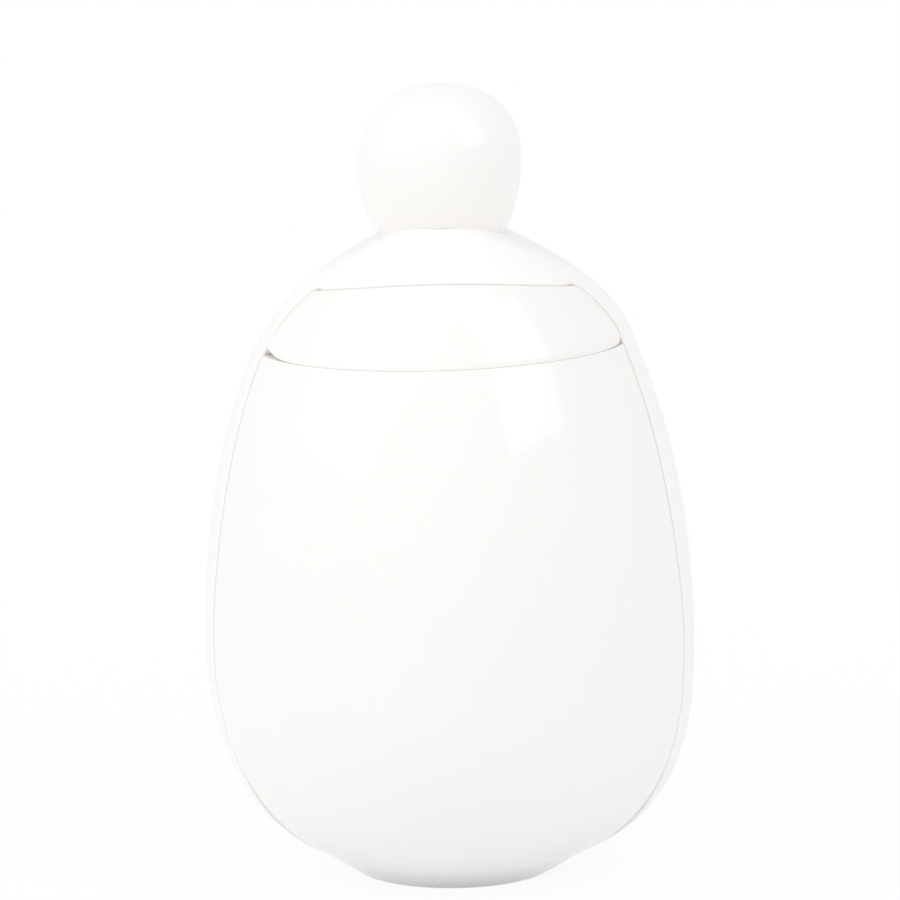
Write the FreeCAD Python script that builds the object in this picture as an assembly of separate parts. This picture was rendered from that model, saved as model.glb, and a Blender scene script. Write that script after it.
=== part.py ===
"""Porcelain egg coddler with a silicone strap.  Millimetres, +Z up, origin at the middle of the foot."""

import FreeCAD
import Part
import math
import os

from FreeCAD import Vector

# ---------------------------------------------------------------- driving dimensions

# The egg: a superellipse below its widest level and a plain ellipse above it.
EGG_RADIUS = 35.0
WAIST_HEIGHT = 33.85
LOWER_POWER = 2.55
UPPER_RISE = 65.7

# The foot that the cup stands on.
FOOT_RADIUS = 16.9
FOOT_HEIGHT = 2.2
FOOT_ROUND = 2.4

# The cup's wall and rim.
RIM_HEIGHT = 76.2
CUP_WALL = 5.0
CUP_FLOOR = 6.8
RIM_ROUND = 0.7

# The lid: a flange on the rim, a skirt inside it, and a ball knob cast solid with it.
LID_JOINT = 0.4
LID_SHELL_INSET = 4.3
LID_CORNER = 1.3
SKIRT_RADIUS = 19.6
SKIRT_WALL = 3.0
SKIRT_BOTTOM = 70.0
SKIRT_ROUND = 0.8
KNOB_RADIUS = 11.6
KNOB_HEIGHT = 101.3
KNOB_TAPER = 15.0
KNOB_ROOT = 87.5

# The seal: a flat leg on the rim, a leg down the skirt, and a bead in the skirt's groove.
SEAL_LEG = 1.2
SEAL_BOTTOM = 72.6
SEAL_FLANGE_RADIUS = 23.6
BEAD_DEPTH = 0.7
BEAD_BOTTOM = 73.4
BEAD_TOP = 74.8

# The strap, and the room that its channel leaves round it.
STRAP_THICKNESS = 2.2
STRAP_GAP = 0.2
STRAP_SPLIT = 76.4
STRAP_UNDERSIDE = 0.6
HOOD_RADIUS = 20.6
HOOD_CORNER = 4.0
HOOD_SLOPE_INSET = 1.6
HOOD_GAP = 0.15

# Half the strap's width at each height, from under the foot up to the lid.
STRAP_HALF_WIDTHS = [(8.6, -1.0), (8.9, 1.5), (11.0, 6.0), (12.6, 14.0), (12.3, 28.0)]
STRAP_HALF_WIDTHS += [(12.0, 45.0), (11.0, 60.0), (9.5, 74.0), (9.3, 80.0)]
LID_HALF_WIDTH = 9.3

# The crown, under the strap's pull, lies inside the egg's ellipse: most beside the knob, less in
# front of it and behind it, and not at all past each reach.
SIDE_SAG = 6.1
SIDE_SAG_REACH = 27.3
FRONT_SAG = 4.25
FRONT_SAG_REACH = 21.5
CROWN_HALF = 27.4

# How many points each curve and surface is drawn through.
OUTLINE_COUNT = 15
KNOB_COUNT = 9
CROWN_COUNT = 35

# For the blocks that cut: a length past the object's own, how far a block runs past the face that it
# cuts, and how far a closed inner egg stops short of its own lowest point.
FAR = 60.0
PAST = 1.0
POLE_SKIP = 0.05

# Points closer together than this are at the same level or on the same circle.
NEAR = 1e-3


# ---------------------------------------------------------------- the egg's outline

def egg_point(angle):
    """(radius, height) of the egg at an angle from its waist: -90 degrees is the foot, 90 the apex."""
    if angle < 0.0:
        radius = EGG_RADIUS * math.cos(angle) ** (2.0 / LOWER_POWER)
        drop = WAIST_HEIGHT * math.sin(-angle) ** (2.0 / LOWER_POWER)
        return radius, WAIST_HEIGHT - drop
    return EGG_RADIUS * math.cos(angle), WAIST_HEIGHT + UPPER_RISE * math.sin(angle)


def inset_point(angle, depth):
    """The egg's point moved inward, square to its surface, by depth."""
    step = 1e-4
    r0, z0 = egg_point(angle - step)
    r1, z1 = egg_point(angle + step)
    length = math.hypot(r1 - r0, z1 - z0)
    radius, height = egg_point(angle)
    return radius - depth * (z1 - z0) / length, height + depth * (r1 - r0) / length


def angle_at(height, depth):
    """The angle at which the inset egg reaches a height, by halving."""
    low, high = math.radians(-89.0), math.radians(80.0)
    for _ in range(60):
        middle = 0.5 * (low + high)
        if inset_point(middle, depth)[1] < height:
            low = middle
        else:
            high = middle
    return 0.5 * (low + high)


def egg_curve(bottom, top, depth=0.0):
    """The inset egg's outline from one height to another, as a spline edge in the XZ plane."""
    first, last = angle_at(bottom, depth), angle_at(top, depth)
    points = []
    for i in range(OUTLINE_COUNT):
        radius, height = inset_point(first + (last - first) * i / (OUTLINE_COUNT - 1), depth)
        points.append(Vector(radius, 0.0, height))
    spline = Part.BSplineCurve()
    spline.interpolate(points)
    return spline.toShape()


def polyline(*points):
    """Straight edges through (radius, height) points in the XZ plane."""
    corners = [Vector(radius, 0.0, height) for radius, height in points]
    return [Part.makeLine(a, b) for a, b in zip(corners, corners[1:])]


def end_point(edge, index):
    """(radius, height) of one end of an edge."""
    point = edge.Vertexes[index].Point
    return point.x, point.z


def turned(edges):
    """The solid that a closed outline in the XZ plane sweeps round the Z axis."""
    wire = Part.Wire(Part.__sortEdges__(edges))
    return Part.Face(wire).revolve(Vector(0, 0, 0), Vector(0, 0, 1), 360.0)


def egg_solid(bottom, top, depth=0.0):
    """The inset egg between two heights, flat at both ends."""
    side = egg_curve(bottom, top, depth)
    low, high = end_point(side, 0), end_point(side, -1)
    return turned([side] + polyline(high, (0.0, top), (0.0, bottom), low))


def inner_egg(top, depth):
    """The inset egg from just above its own lowest point to just past a height."""
    return egg_solid(depth + POLE_SKIP, top + PAST, depth)


# ---------------------------------------------------------------- the strap's outline and surfaces

def strap_sides(gap):
    """The block that the strap's side bands and the band under the foot lie in, gap wider each side."""
    right = [Vector(0.0, half + gap, height) for half, height in STRAP_HALF_WIDTHS]
    left = [Vector(0.0, -point.y, point.z) for point in reversed(right)]
    edges = []
    for points in (right, left):
        spline = Part.BSplineCurve()
        spline.interpolate(points)
        edges.append(spline.toShape())
    edges.append(Part.makeLine(right[-1], left[0]))
    edges.append(Part.makeLine(left[-1], right[0]))
    face = Part.Face(Part.Wire(Part.__sortEdges__(edges)))
    face.translate(Vector(-FAR, 0, 0))
    return face.extrude(Vector(2 * FAR, 0, 0))


def hood_block(gap, bottom):
    """The upright block that the hood and the tops of the side bands lie in, gap wider all round."""
    disc = Part.makeCylinder(HOOD_RADIUS + gap, FAR, Vector(0, 0, bottom))
    width = 2 * (LID_HALF_WIDTH + gap)
    bar = Part.makeBox(2 * FAR, width, FAR, Vector(-FAR, -width / 2, bottom))
    block = disc.fuse(bar).removeSplitter()
    corners = []
    for edge in block.Edges:
        a, b = edge.Vertexes[0].Point, edge.Vertexes[-1].Point
        upright = abs(a.x - b.x) < NEAR and abs(a.y - b.y) < NEAR and abs(a.z - b.z) > NEAR
        if upright and abs(math.hypot(a.x, a.y) - HOOD_RADIUS - gap) < NEAR:
            corners.append(edge)
    return block.makeFillet(HOOD_CORNER - gap, corners)


def sag_at(radius, most, reach):
    """How far the crown lies inside the ellipse at a radius: it ends without a crease."""
    return most * max(0.0, 1.0 - (radius / reach) ** 3) ** 1.5


def crown_height(x, y, inset):
    """Height of the crown's outer surface at a place, or of the surface inset below it."""
    radius = math.hypot(x, y)
    grown = min(radius + inset, 0.99 * EGG_RADIUS)
    front_share = y * y / (radius * radius + 1.0)
    ellipse = WAIST_HEIGHT + UPPER_RISE * math.sqrt(1.0 - (grown / EGG_RADIUS) ** 2)
    side = sag_at(grown, SIDE_SAG, SIDE_SAG_REACH)
    front = sag_at(grown, FRONT_SAG, FRONT_SAG_REACH)
    return ellipse - side - (front - side) * front_share - inset


def under_crown(inset):
    """Everything below the crown's surface, down past the rim."""
    places = [CROWN_HALF * (2.0 * i / (CROWN_COUNT - 1) - 1.0) for i in range(CROWN_COUNT)]
    grid = [[Vector(x, y, crown_height(x, y, inset)) for y in places] for x in places]
    surface = Part.BSplineSurface()
    surface.interpolate(grid)
    return surface.toShape().extrude(Vector(0, 0, -FAR))


def knob_solid(gap=0.0):
    """The ball knob: half a sphere on half of a longer ellipsoid, which narrows into the lid."""
    radius, taper = KNOB_RADIUS + gap, KNOB_TAPER + gap
    start = -math.asin((KNOB_HEIGHT - KNOB_ROOT) / taper)
    points = []
    for i in range(KNOB_COUNT):
        angle = start * (1.0 - i / (KNOB_COUNT - 1))
        points.append(Vector(radius * math.cos(angle), 0.0, KNOB_HEIGHT + taper * math.sin(angle)))
    lower = Part.BSplineCurve()
    lower.interpolate(Points=points, InitialTangent=points[1] - points[0], FinalTangent=Vector(0, 0, 1))
    half = radius * math.sqrt(0.5)
    top = Vector(0.0, 0.0, KNOB_HEIGHT + radius)
    upper = Part.Arc(points[-1], Vector(half, 0.0, KNOB_HEIGHT + half), top)
    axis = polyline((0.0, top.z), (0.0, KNOB_ROOT), (points[0].x, KNOB_ROOT))
    return turned([lower.toShape(), upper.toShape()] + axis)


# ---------------------------------------------------------------- the pieces

def picked(shape, wanted):
    """The shape's edges whose every corner and middle point pass a test."""
    found = []
    for edge in shape.Edges:
        middle = edge.valueAt(0.5 * (edge.FirstParameter + edge.LastParameter))
        if all(wanted(point) for point in [vertex.Point for vertex in edge.Vertexes] + [middle]):
            found.append(edge)
    return found


def make_cup():
    """The porcelain body: egg outside, egg-shaped hollow inside, channels and a groove for the strap."""
    side = egg_curve(FOOT_HEIGHT, RIM_HEIGHT)
    inner = egg_curve(CUP_FLOOR, RIM_HEIGHT, CUP_WALL)
    start, rim = end_point(side, 0), end_point(side, -1)
    floor, mouth = end_point(inner, 0), end_point(inner, -1)
    flat = FOOT_RADIUS - FOOT_ROUND
    bend = Vector(flat + FOOT_ROUND * math.sin(math.radians(45)), 0.0,
                  FOOT_ROUND * (1.0 - math.cos(math.radians(45))))
    foot = Part.Arc(Vector(flat, 0, 0), bend, Vector(start[0], 0, start[1])).toShape()
    outline = [side, inner, foot]
    outline += polyline(rim, mouth)
    outline += polyline(floor, (0.0, CUP_FLOOR), (0.0, 0.0), (flat, 0.0))
    body = turned(outline)
    body = body.makeFillet(RIM_ROUND, picked(body, lambda p: abs(p.z - RIM_HEIGHT) < NEAR))
    core = inner_egg(RIM_HEIGHT, STRAP_THICKNESS + STRAP_GAP)
    return body.cut(strap_sides(STRAP_GAP).cut(core))


def lid_corners(bottom):
    """What rounding takes off the lid's four lower corners, beside the strap's channels."""
    edge = LID_HALF_WIDTH + STRAP_GAP
    size = LID_CORNER + PAST
    cutters = []
    for side in (-1.0, 1.0):
        low_y = min(side * (edge - PAST), side * (edge + LID_CORNER))
        block = Part.makeBox(2 * FAR, size, size, Vector(-FAR, low_y, bottom - PAST))
        centre = Vector(-FAR, side * (edge + LID_CORNER), bottom + LID_CORNER)
        cutters.append(block.cut(Part.makeCylinder(LID_CORNER, 2 * FAR, centre, Vector(1, 0, 0))))
    return cutters


def make_lid():
    """The porcelain lid: egg-shaped outside, a recess for the strap, a skirt, and the knob."""
    bottom = RIM_HEIGHT + LID_JOINT
    body = Part.makeCylinder(CROWN_HALF, FAR, Vector(0, 0, bottom)).common(under_crown(0.0))
    recess_floor = under_crown(HOOD_SLOPE_INSET + HOOD_GAP)
    cutters = [hood_block(STRAP_GAP, bottom - PAST)] + lid_corners(bottom)
    body = body.cut([cutter.cut(recess_floor) for cutter in cutters])
    skirt = Part.makeCylinder(SKIRT_RADIUS, bottom + PAST - SKIRT_BOTTOM, Vector(0, 0, SKIRT_BOTTOM))
    skirt = skirt.makeFillet(SKIRT_ROUND, picked(skirt, lambda p: abs(p.z - SKIRT_BOTTOM) < NEAR))
    body = body.fuse([skirt, knob_solid()])
    bore = Part.makeCylinder(SKIRT_RADIUS - SKIRT_WALL, FAR / 2, Vector(0, 0, SKIRT_BOTTOM - PAST))
    body = body.cut(bore.common(under_crown(LID_SHELL_INSET)))
    groove = Part.makeCylinder(SKIRT_RADIUS + PAST, BEAD_TOP - BEAD_BOTTOM, Vector(0, 0, BEAD_BOTTOM))
    groove = groove.cut(Part.makeCylinder(SKIRT_RADIUS - BEAD_DEPTH, FAR, Vector(0, 0, BEAD_BOTTOM - PAST)))
    return body.cut(groove)


def make_lid_seal():
    """The silicone ring between the lid and the cup's rim."""
    leg, bead = SKIRT_RADIUS + SEAL_LEG, SKIRT_RADIUS - BEAD_DEPTH
    rim, top = RIM_HEIGHT, RIM_HEIGHT + LID_JOINT
    outline = polyline((SKIRT_RADIUS, SEAL_BOTTOM), (leg, SEAL_BOTTOM), (leg, rim), (SEAL_FLANGE_RADIUS, rim),
                       (SEAL_FLANGE_RADIUS, top), (SKIRT_RADIUS, top), (SKIRT_RADIUS, BEAD_TOP),
                       (bead, BEAD_TOP), (bead, BEAD_BOTTOM), (SKIRT_RADIUS, BEAD_BOTTOM),
                       (SKIRT_RADIUS, SEAL_BOTTOM))
    return turned(outline)


def make_strap_band():
    """The strap's two side bands and the band under the foot, one bent strip of silicone."""
    shell = egg_solid(STRAP_UNDERSIDE, STRAP_SPLIT).cut(inner_egg(STRAP_SPLIT, STRAP_THICKNESS))
    return strap_sides(0.0).common(shell)


def make_strap_hood():
    """The strap's wide cap, with the hole that the knob stands in, and the tops of its side bands."""
    hood = hood_block(0.0, STRAP_SPLIT).common(under_crown(0.0))
    return hood.cut([under_crown(HOOD_SLOPE_INSET), knob_solid(STRAP_GAP)])


PIECES = {
    "cup": make_cup,
    "lid": make_lid,
    "lid_seal": make_lid_seal,
    "strap_band": make_strap_band,
    "strap_hood": make_strap_hood,
}

os.makedirs("parts", exist_ok=True)
for name, make in PIECES.items():
    solids = make().Solids
    shape = solids[0] if len(solids) == 1 else Part.makeCompound(solids)
    shape.exportStep("parts/" + name + ".step")
    box = shape.BoundBox
    print(f"{name}: {len(solids)} solid(s), valid {shape.isValid()}, {shape.Volume:.0f} mm3,",
          f"x {box.XMin:.2f}..{box.XMax:.2f}, y {box.YMin:.2f}..{box.YMax:.2f}, z {box.ZMin:.2f}..{box.ZMax:.2f}")
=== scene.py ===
# %% [markdown]
# # A porcelain egg coddler, dressed for its portrait
# The coddler is an egg of white porcelain in two pieces, a cup and a lid with a ball knob, and one loop of
# white silicone that holds them shut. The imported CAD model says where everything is. This notebook builds
# finer meshes round that frame, gives them their glaze and their rubber, and lights them.
# Everything is worked out in millimetres, as a potter would, and turned into metres when a piece is sewn.

# %% Load the fixed frame
import math

import bmesh
import bpy
import numpy as np
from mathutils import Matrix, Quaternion, Vector


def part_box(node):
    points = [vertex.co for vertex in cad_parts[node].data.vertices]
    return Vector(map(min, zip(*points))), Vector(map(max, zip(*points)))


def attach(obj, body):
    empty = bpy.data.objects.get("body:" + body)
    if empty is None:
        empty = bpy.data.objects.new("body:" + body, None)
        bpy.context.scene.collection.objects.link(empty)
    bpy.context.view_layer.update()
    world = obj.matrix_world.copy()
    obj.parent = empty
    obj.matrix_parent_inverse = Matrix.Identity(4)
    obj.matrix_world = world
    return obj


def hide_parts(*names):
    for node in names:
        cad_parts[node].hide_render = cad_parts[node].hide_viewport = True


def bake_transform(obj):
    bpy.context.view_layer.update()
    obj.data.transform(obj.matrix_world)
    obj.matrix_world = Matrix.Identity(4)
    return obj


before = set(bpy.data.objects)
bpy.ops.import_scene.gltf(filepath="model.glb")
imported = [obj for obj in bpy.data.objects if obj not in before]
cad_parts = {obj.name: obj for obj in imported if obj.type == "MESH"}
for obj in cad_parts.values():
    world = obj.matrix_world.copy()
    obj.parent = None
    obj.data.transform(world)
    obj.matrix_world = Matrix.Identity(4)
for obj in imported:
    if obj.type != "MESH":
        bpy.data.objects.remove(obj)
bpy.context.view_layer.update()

MM = 0.001

# %% [markdown]
# ## The driving sizes
# Heights that the CAD pieces already have are read from their boxes, so that they can't drift apart. The
# egg itself is a formula with four numbers: its radius, the height of its waist, how square its bottom is,
# and how high its pointed end would reach.

# %% Sizes
def box_mm(node):
    """Lowest and highest corner of a CAD node, in millimetres."""
    low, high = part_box(node)
    return np.array(low) / MM, np.array(high) / MM


EGG_RADIUS = 35.0
WAIST = 33.85
LOWER_POWER = 2.55
UPPER_RISE = 65.7

RIM = box_mm("cup")[1][2]
SKIRT_BOTTOM, KNOB_TOP = box_mm("lid")[0][2], box_mm("lid")[1][2]
STRAP_UNDERSIDE, STRAP_SPLIT = box_mm("strap_band")[0][2], box_mm("strap_band")[1][2]
SEAL_BOTTOM, SEAL_TOP = box_mm("lid_seal")[0][2], box_mm("lid_seal")[1][2]
SEAL_RADIUS = box_mm("lid_seal")[1][0]
HOOD_INSET = 0.5
HOOD_RADIUS = box_mm("strap_hood")[1][1] - HOOD_INSET

STRAP_THICKNESS = 2.2
STRAP_GAP = 0.2
CHANNEL_DEPTH = STRAP_THICKNESS + STRAP_GAP
LID_BOTTOM = SEAL_TOP
print(f"rim {RIM:.2f}, knob top {KNOB_TOP:.2f}, hood radius {HOOD_RADIUS:.2f}, split {STRAP_SPLIT:.2f} mm")

# %% [markdown]
# ## The egg's skin
# Below its waist the egg is a superellipse, which sits flatter than a circle would. Above it the skin is an
# ellipse, and near the top it falls a little inside that ellipse, more at the two sides, where the strap
# pulls over it, than at the front. A mould-maker would turn this shape on a lathe. Here one function gives
# a point of the skin and the direction that faces straight out of it, and every piece is hung on that
# function.

# %% One function for the skin
SIDE_SAG, SIDE_REACH = 7.1, 26.4
FRONT_SAG, FRONT_REACH = 3.8, 21.5


def sag(x, y):
    """How far the crown lies below the ellipse at a place in plan."""
    radius = np.hypot(x, y)
    side = SIDE_SAG * np.clip(1.0 - (radius / SIDE_REACH) ** 3, 0.0, None) ** 1.5
    front = FRONT_SAG * np.clip(1.0 - (radius / FRONT_REACH) ** 3, 0.0, None) ** 1.5
    return side + (front - side) * y * y / (radius * radius + 1.0)


def egg_outline(angle):
    """Radius and height of the egg at an angle from its waist, from -90 degrees at the foot to 90."""
    cosine, sine = np.clip(np.cos(angle), 0.0, None), np.abs(np.sin(angle))
    power = np.where(angle < 0.0, 2.0 / LOWER_POWER, 1.0)
    rise = np.where(angle < 0.0, -WAIST, UPPER_RISE)
    return EGG_RADIUS * cosine ** power, WAIST + rise * sine ** power


def skin(angle, x, y):
    """Points of the skin and the normals there, each as an array of rows of three."""
    _, height = egg_outline(angle)
    step = 0.01
    sag_x = (sag(x + step, y) - sag(x - step, y)) / (2.0 * step)
    sag_y = (sag(x, y + step) - sag(x, y - step)) / (2.0 * step)
    above = angle >= 0.0
    upness = np.sin(np.clip(angle, 0.0, None))
    steep = UPPER_RISE / EGG_RADIUS ** 2
    radius = np.hypot(x, y)
    outness = np.clip(radius / EGG_RADIUS, 0.0, 1.0) ** (LOWER_POWER - 1.0) / (EGG_RADIUS * (radius + 1e-9))
    downness = np.clip((WAIST - height) / WAIST, 0.0, 1.0) ** (LOWER_POWER - 1.0) / WAIST
    normal = np.stack([np.where(above, steep * x + sag_x * upness, outness * x),
                       np.where(above, steep * y + sag_y * upness, outness * y),
                       np.where(above, upness, -downness)], axis=-1)
    normal /= np.linalg.norm(normal, axis=-1, keepdims=True)
    return np.stack([x, y, np.where(above, height - sag(x, y), height)], axis=-1), normal


def crown(x, y):
    """The skin above the waist, at a place in plan."""
    return skin(np.arccos(np.clip(np.hypot(x, y) / EGG_RADIUS, 0.0, 1.0)), x, y)


spot, facing = crown(np.array([12.0]), np.array([0.0]))
print(f"12 mm beside the axis the skin is {spot[0, 2]:.2f} mm high and faces {np.round(facing[0], 2)}")

# %% [markdown]
# ## Going inward
# The strap's inner face, the channel's floor and the lid's recess all lie a set depth under the skin. Going
# straight in along the normal would slant the side walls of the strap's long bands, so there the step
# goes in without moving along the direction that the wall faces.

# %% Step inward from the skin
SIDE_WALL = np.array([0.0, 1.0, 0.0])


def inward(surface, depth, wall=SIDE_WALL, keep=1.0):
    """The skin's points moved in by depth, without moving along wall, as far as keep says."""
    point, normal = surface
    along = np.sum(normal * wall, axis=-1, keepdims=True)
    return point - depth * (normal - keep * along * wall) / (1.0 - keep * along * along)


# %% [markdown]
# ## Lines that run the length of a band
# A band runs down one side of the egg, under its foot and up the other. Its mesh is made of lines that
# keep their place across the band. Each line is first drawn very finely, then picked up at the same rows as
# its neighbours: rows of equal height above the waist, and of equal slant, seen from the waist, below it.

# %% A line down the egg
FINE = np.linspace(math.radians(80.0), math.radians(-90.0), 6000)
LAST_ROW = -0.5 * math.pi * EGG_RADIUS


def row_of(x, height):
    """A number that falls steadily down a line: height above the waist, slant times the radius below."""
    below = (np.arctan2(x, WAIST - height) - 0.5 * math.pi) * EGG_RADIUS
    return np.where(height >= WAIST, height - WAIST, below)


def picked(line, rows):
    """The points of a finely drawn line at the wanted rows. The line ends on the plane x = 0."""
    line = np.vstack([line, line[-1] * [0.0, 1.0, 1.0]])
    values = row_of(line[:, 0], line[:, 2])[::-1]
    return np.stack([np.interp(rows, values, line[::-1, axis]) for axis in range(3)], axis=-1)


def side_line(place, depth, rows):
    """A line of the skin inset by depth, whose y at each height is place(height)."""
    radius, height = egg_outline(FINE)
    y = place(height)
    inside = radius > y
    x = np.sqrt(radius[inside] ** 2 - y[inside] ** 2)
    return picked(inward(skin(FINE[inside], x, y[inside]), depth), rows)


# %% [markdown]
# ## How wide the strap is
# The bands are narrow at the shoulder, widest low on the belly, and narrow again under the foot. A few
# widths are enough, and a moving average turns the straight runs between them into one flowing edge.

# %% The strap's width
WIDTH_LEVELS = [-6.0, 1.5, 6.0, 14.0, 20.0, 28.0, 36.0, 47.0, 56.0, 66.0, 71.0, 78.5, 95.0]
HALF_WIDTHS = [8.6, 8.9, 10.9, 12.3, 12.0, 11.1, 10.7, 11.2, 11.0, 9.9, 9.2, 8.0, 8.0]
BAR_HALF_WIDTH = HALF_WIDTHS[-1]


def moving_average(values, count):
    """Values smoothed with a round-shouldered window of count samples."""
    window = np.hanning(count)
    return np.convolve(np.pad(values, count // 2, "edge"), window / window.sum(), "valid")


LEVELS = np.linspace(WIDTH_LEVELS[0], WIDTH_LEVELS[-1], 961)
SMOOTH_WIDTHS = moving_average(np.interp(LEVELS, WIDTH_LEVELS, HALF_WIDTHS), 61)


def half_width(height):
    """Half the strap's width at a height."""
    return np.interp(height, LEVELS, SMOOTH_WIDTHS)


print("half widths at 10, 40 and 70 mm:", np.round(half_width(np.array([10.0, 40.0, 70.0])), 2))

# %% [markdown]
# ## Sections of an edge
# A fired edge is never sharp: the glaze draws back from it and leaves a small round. A section is a list of
# (out, deep) pairs, out past the strap's nominal edge and deep below the skin. The porcelain's section
# climbs from the channel's floor to the skin, and the strap's goes round its edge from its outer face to
# its inner one.

# %% Two sections
def quarter_arc(centre, radius, start, count=5):
    """Points of a quarter circle in a section, from an angle in degrees, anticlockwise if radius > 0."""
    turn = np.radians(start + np.sign(radius) * np.linspace(0.0, 90.0, count))
    return [(centre[0] + abs(radius) * math.cos(a), centre[1] + abs(radius) * math.sin(a)) for a in turn]


def channel_section(lip, root, depth=CHANNEL_DEPTH, gap=STRAP_GAP):
    """From the channel's floor, round the root, up the wall and over the lip."""
    return quarter_arc((gap - root, depth - root), -root, 90.0) + quarter_arc((gap + lip, lip), lip, 180.0)


def strap_section(corner, depth=STRAP_THICKNESS):
    """From the strap's outer face round its edge to its inner face."""
    return quarter_arc((-corner, corner), corner, -90.0) + quarter_arc((-corner, depth - corner), corner, 0.0)


# %% [markdown]
# ## Out of true
# Drying and firing pull a pot a little out of round. Every point of every piece is moved by the same slow
# swell, so the pieces still fit each other, and by a wander of the axis that leaves the knob leaning. The
# swell is a sum of waves, and each has a number of lobes, a start, the height over which it turns by one
# radian, and a share. The joint at the rim hangs a touch lower on one side.

# %% Pull out of true
SWELL = 0.12
SWELL_WAVES = [(2.0, 0.7, 40.0, 0.3), (3.0, -1.1, -23.0, 0.2)]
LEAN_HEIGHTS = [0.0, 5.0, 14.0, 22.0, 30.0, 66.0, 75.0, 80.0, 87.0, 91.0, 95.0, 102.0, 107.0, 113.0]
LEANS = [0.3, 0.6, 0.6, 0.3, 0.05, 0.0, -0.15, 0.3, 0.3, 0.05, -0.3, -0.35, 0.05, 0.1]
LEAN_LEVELS = np.linspace(LEAN_HEIGHTS[0], LEAN_HEIGHTS[-1], 1131)
SMOOTH_LEANS = moving_average(np.interp(LEAN_LEVELS, LEAN_HEIGHTS, LEANS), 61)
SEAM_DROP, SEAM_TILT, SEAM_REACH = 0.02, 0.018, 7.0


def bell(offset, reach):
    """A smooth hump, 1 in the middle and all but gone at twice its reach."""
    return np.exp(-(offset / reach) ** 2)


def ramp(value, start, length):
    """0 up to a start, and from there up to 1 over a length."""
    return np.clip((value - start) / length, 0.0, 1.0)


def handmade(points):
    """Points in millimetres, moved as a pot moves in the kiln."""
    x, y, z = points.T
    turn = np.arctan2(y, x)
    waves = [share * np.sin(lobes * turn + start + z / pitch) for lobes, start, pitch, share in SWELL_WAVES]
    scale = 1.0 - SWELL * (0.5 + sum(waves)) / EGG_RADIUS
    drop = (SEAM_DROP - SEAM_TILT * x) * bell(z - RIM, SEAM_REACH)
    return np.stack([x * scale + np.interp(z, LEAN_LEVELS, SMOOTH_LEANS), y * scale, z - drop], axis=-1)


print(f"the axis wanders by {np.ptp(SMOOTH_LEANS):.2f} mm")

# %% [markdown]
# ## Sewing patches together
# Every piece here is the same on both sides of two planes, so only a quarter of it is made, as a few grids
# of points. They are mirrored, and the borders that meet are welded. A closed skin has two faces at every
# edge, so counting the open edges is a quick test of the whole piece. A piece that takes a shape of its own
# is draped first, and then it is pulled out of true with the rest.

# %% Mirror and weld
WELD = 0.004


def placed(name, data):
    """A new object in the scene."""
    item = bpy.data.objects.new(name, data)
    bpy.context.scene.collection.objects.link(item)
    return item


def grid_faces(rows, columns, start, flipped):
    """Corner numbers of the four-sided faces of a grid."""
    corner = start + np.arange(rows * columns).reshape(rows, columns)
    faces = np.stack([corner[:-1, :-1], corner[1:, :-1], corner[1:, 1:], corner[:-1, 1:]], axis=-1)
    return faces.reshape(-1, 4)[:, ::-1 if flipped else 1]


def sewn(name, patches, drape=lambda points: points):
    """One welded, smooth mesh object from the grids of a quarter of it, in millimetres, then draped."""
    points, faces, start = [], [], 0
    for side_x, side_y in ((1, 1), (-1, 1), (-1, -1), (1, -1)):
        for patch in patches:
            rows, columns = patch.shape[:2]
            points.append(patch.reshape(-1, 3) * [side_x, side_y, 1])
            faces.append(grid_faces(rows, columns, start, side_x * side_y < 0))
            start += rows * columns
    mesh = bpy.data.meshes.new(name)
    mesh.from_pydata(np.vstack(points) * MM, [], np.vstack(faces))
    shape = bmesh.new()
    shape.from_mesh(mesh)
    bmesh.ops.remove_doubles(shape, verts=shape.verts, dist=WELD * MM)
    bmesh.ops.recalc_face_normals(shape, faces=shape.faces)
    open_edges = sum(len(edge.link_faces) != 2 for edge in shape.edges)
    volume = shape.calc_volume() / MM ** 3
    shape.to_mesh(mesh)
    shape.free()
    places = np.empty(3 * len(mesh.vertices))
    mesh.vertices.foreach_get("co", places)
    mesh.vertices.foreach_set("co", (handmade(drape(places.reshape(-1, 3) / MM)) * MM).ravel())
    mesh.shade_smooth()
    print(f"{name}: {len(mesh.polygons)} faces, {open_edges} open edges, {volume / 1000:.2f} cm3")
    return placed(name, mesh)


# %% [markdown]
# ## The cup's outside
# The cup is slip-cast: liquid clay sets against a plaster mould, so its outside is smooth and its edges are
# soft. Rows run round the front of the egg from one channel to the other, and end under the foot in a
# crescent. The foot has a flat to stand on, and a turned-in round that the moving average softens.

# %% The foot's outline
FOOT_FLAT, FOOT_HEIGHT = 14.9, 3.6
TURN_IN_SOFTENING, FOOT_SOFTENING = 81, 15
OUTLINE_STEP = 0.05


def evenly(outline, spacing):
    """A (radius, height) outline with its points evenly spaced."""
    lengths = np.concatenate([[0.0], np.cumsum(np.hypot(*np.diff(outline, axis=0).T))])
    places = np.linspace(0.0, lengths[-1], int(round(lengths[-1] / spacing)) + 1)
    return np.stack([np.interp(places, lengths, outline[:, axis]) for axis in range(2)], axis=-1)


def softened(outline, count):
    """An outline with its corners rounded by a moving average. Its two ends stay."""
    even = evenly(outline, OUTLINE_STEP)
    soft = np.stack([moving_average(even[:, axis], count) for axis in range(2)], axis=-1)
    soft[0], soft[-1] = even[0], even[-1]
    return soft


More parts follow.
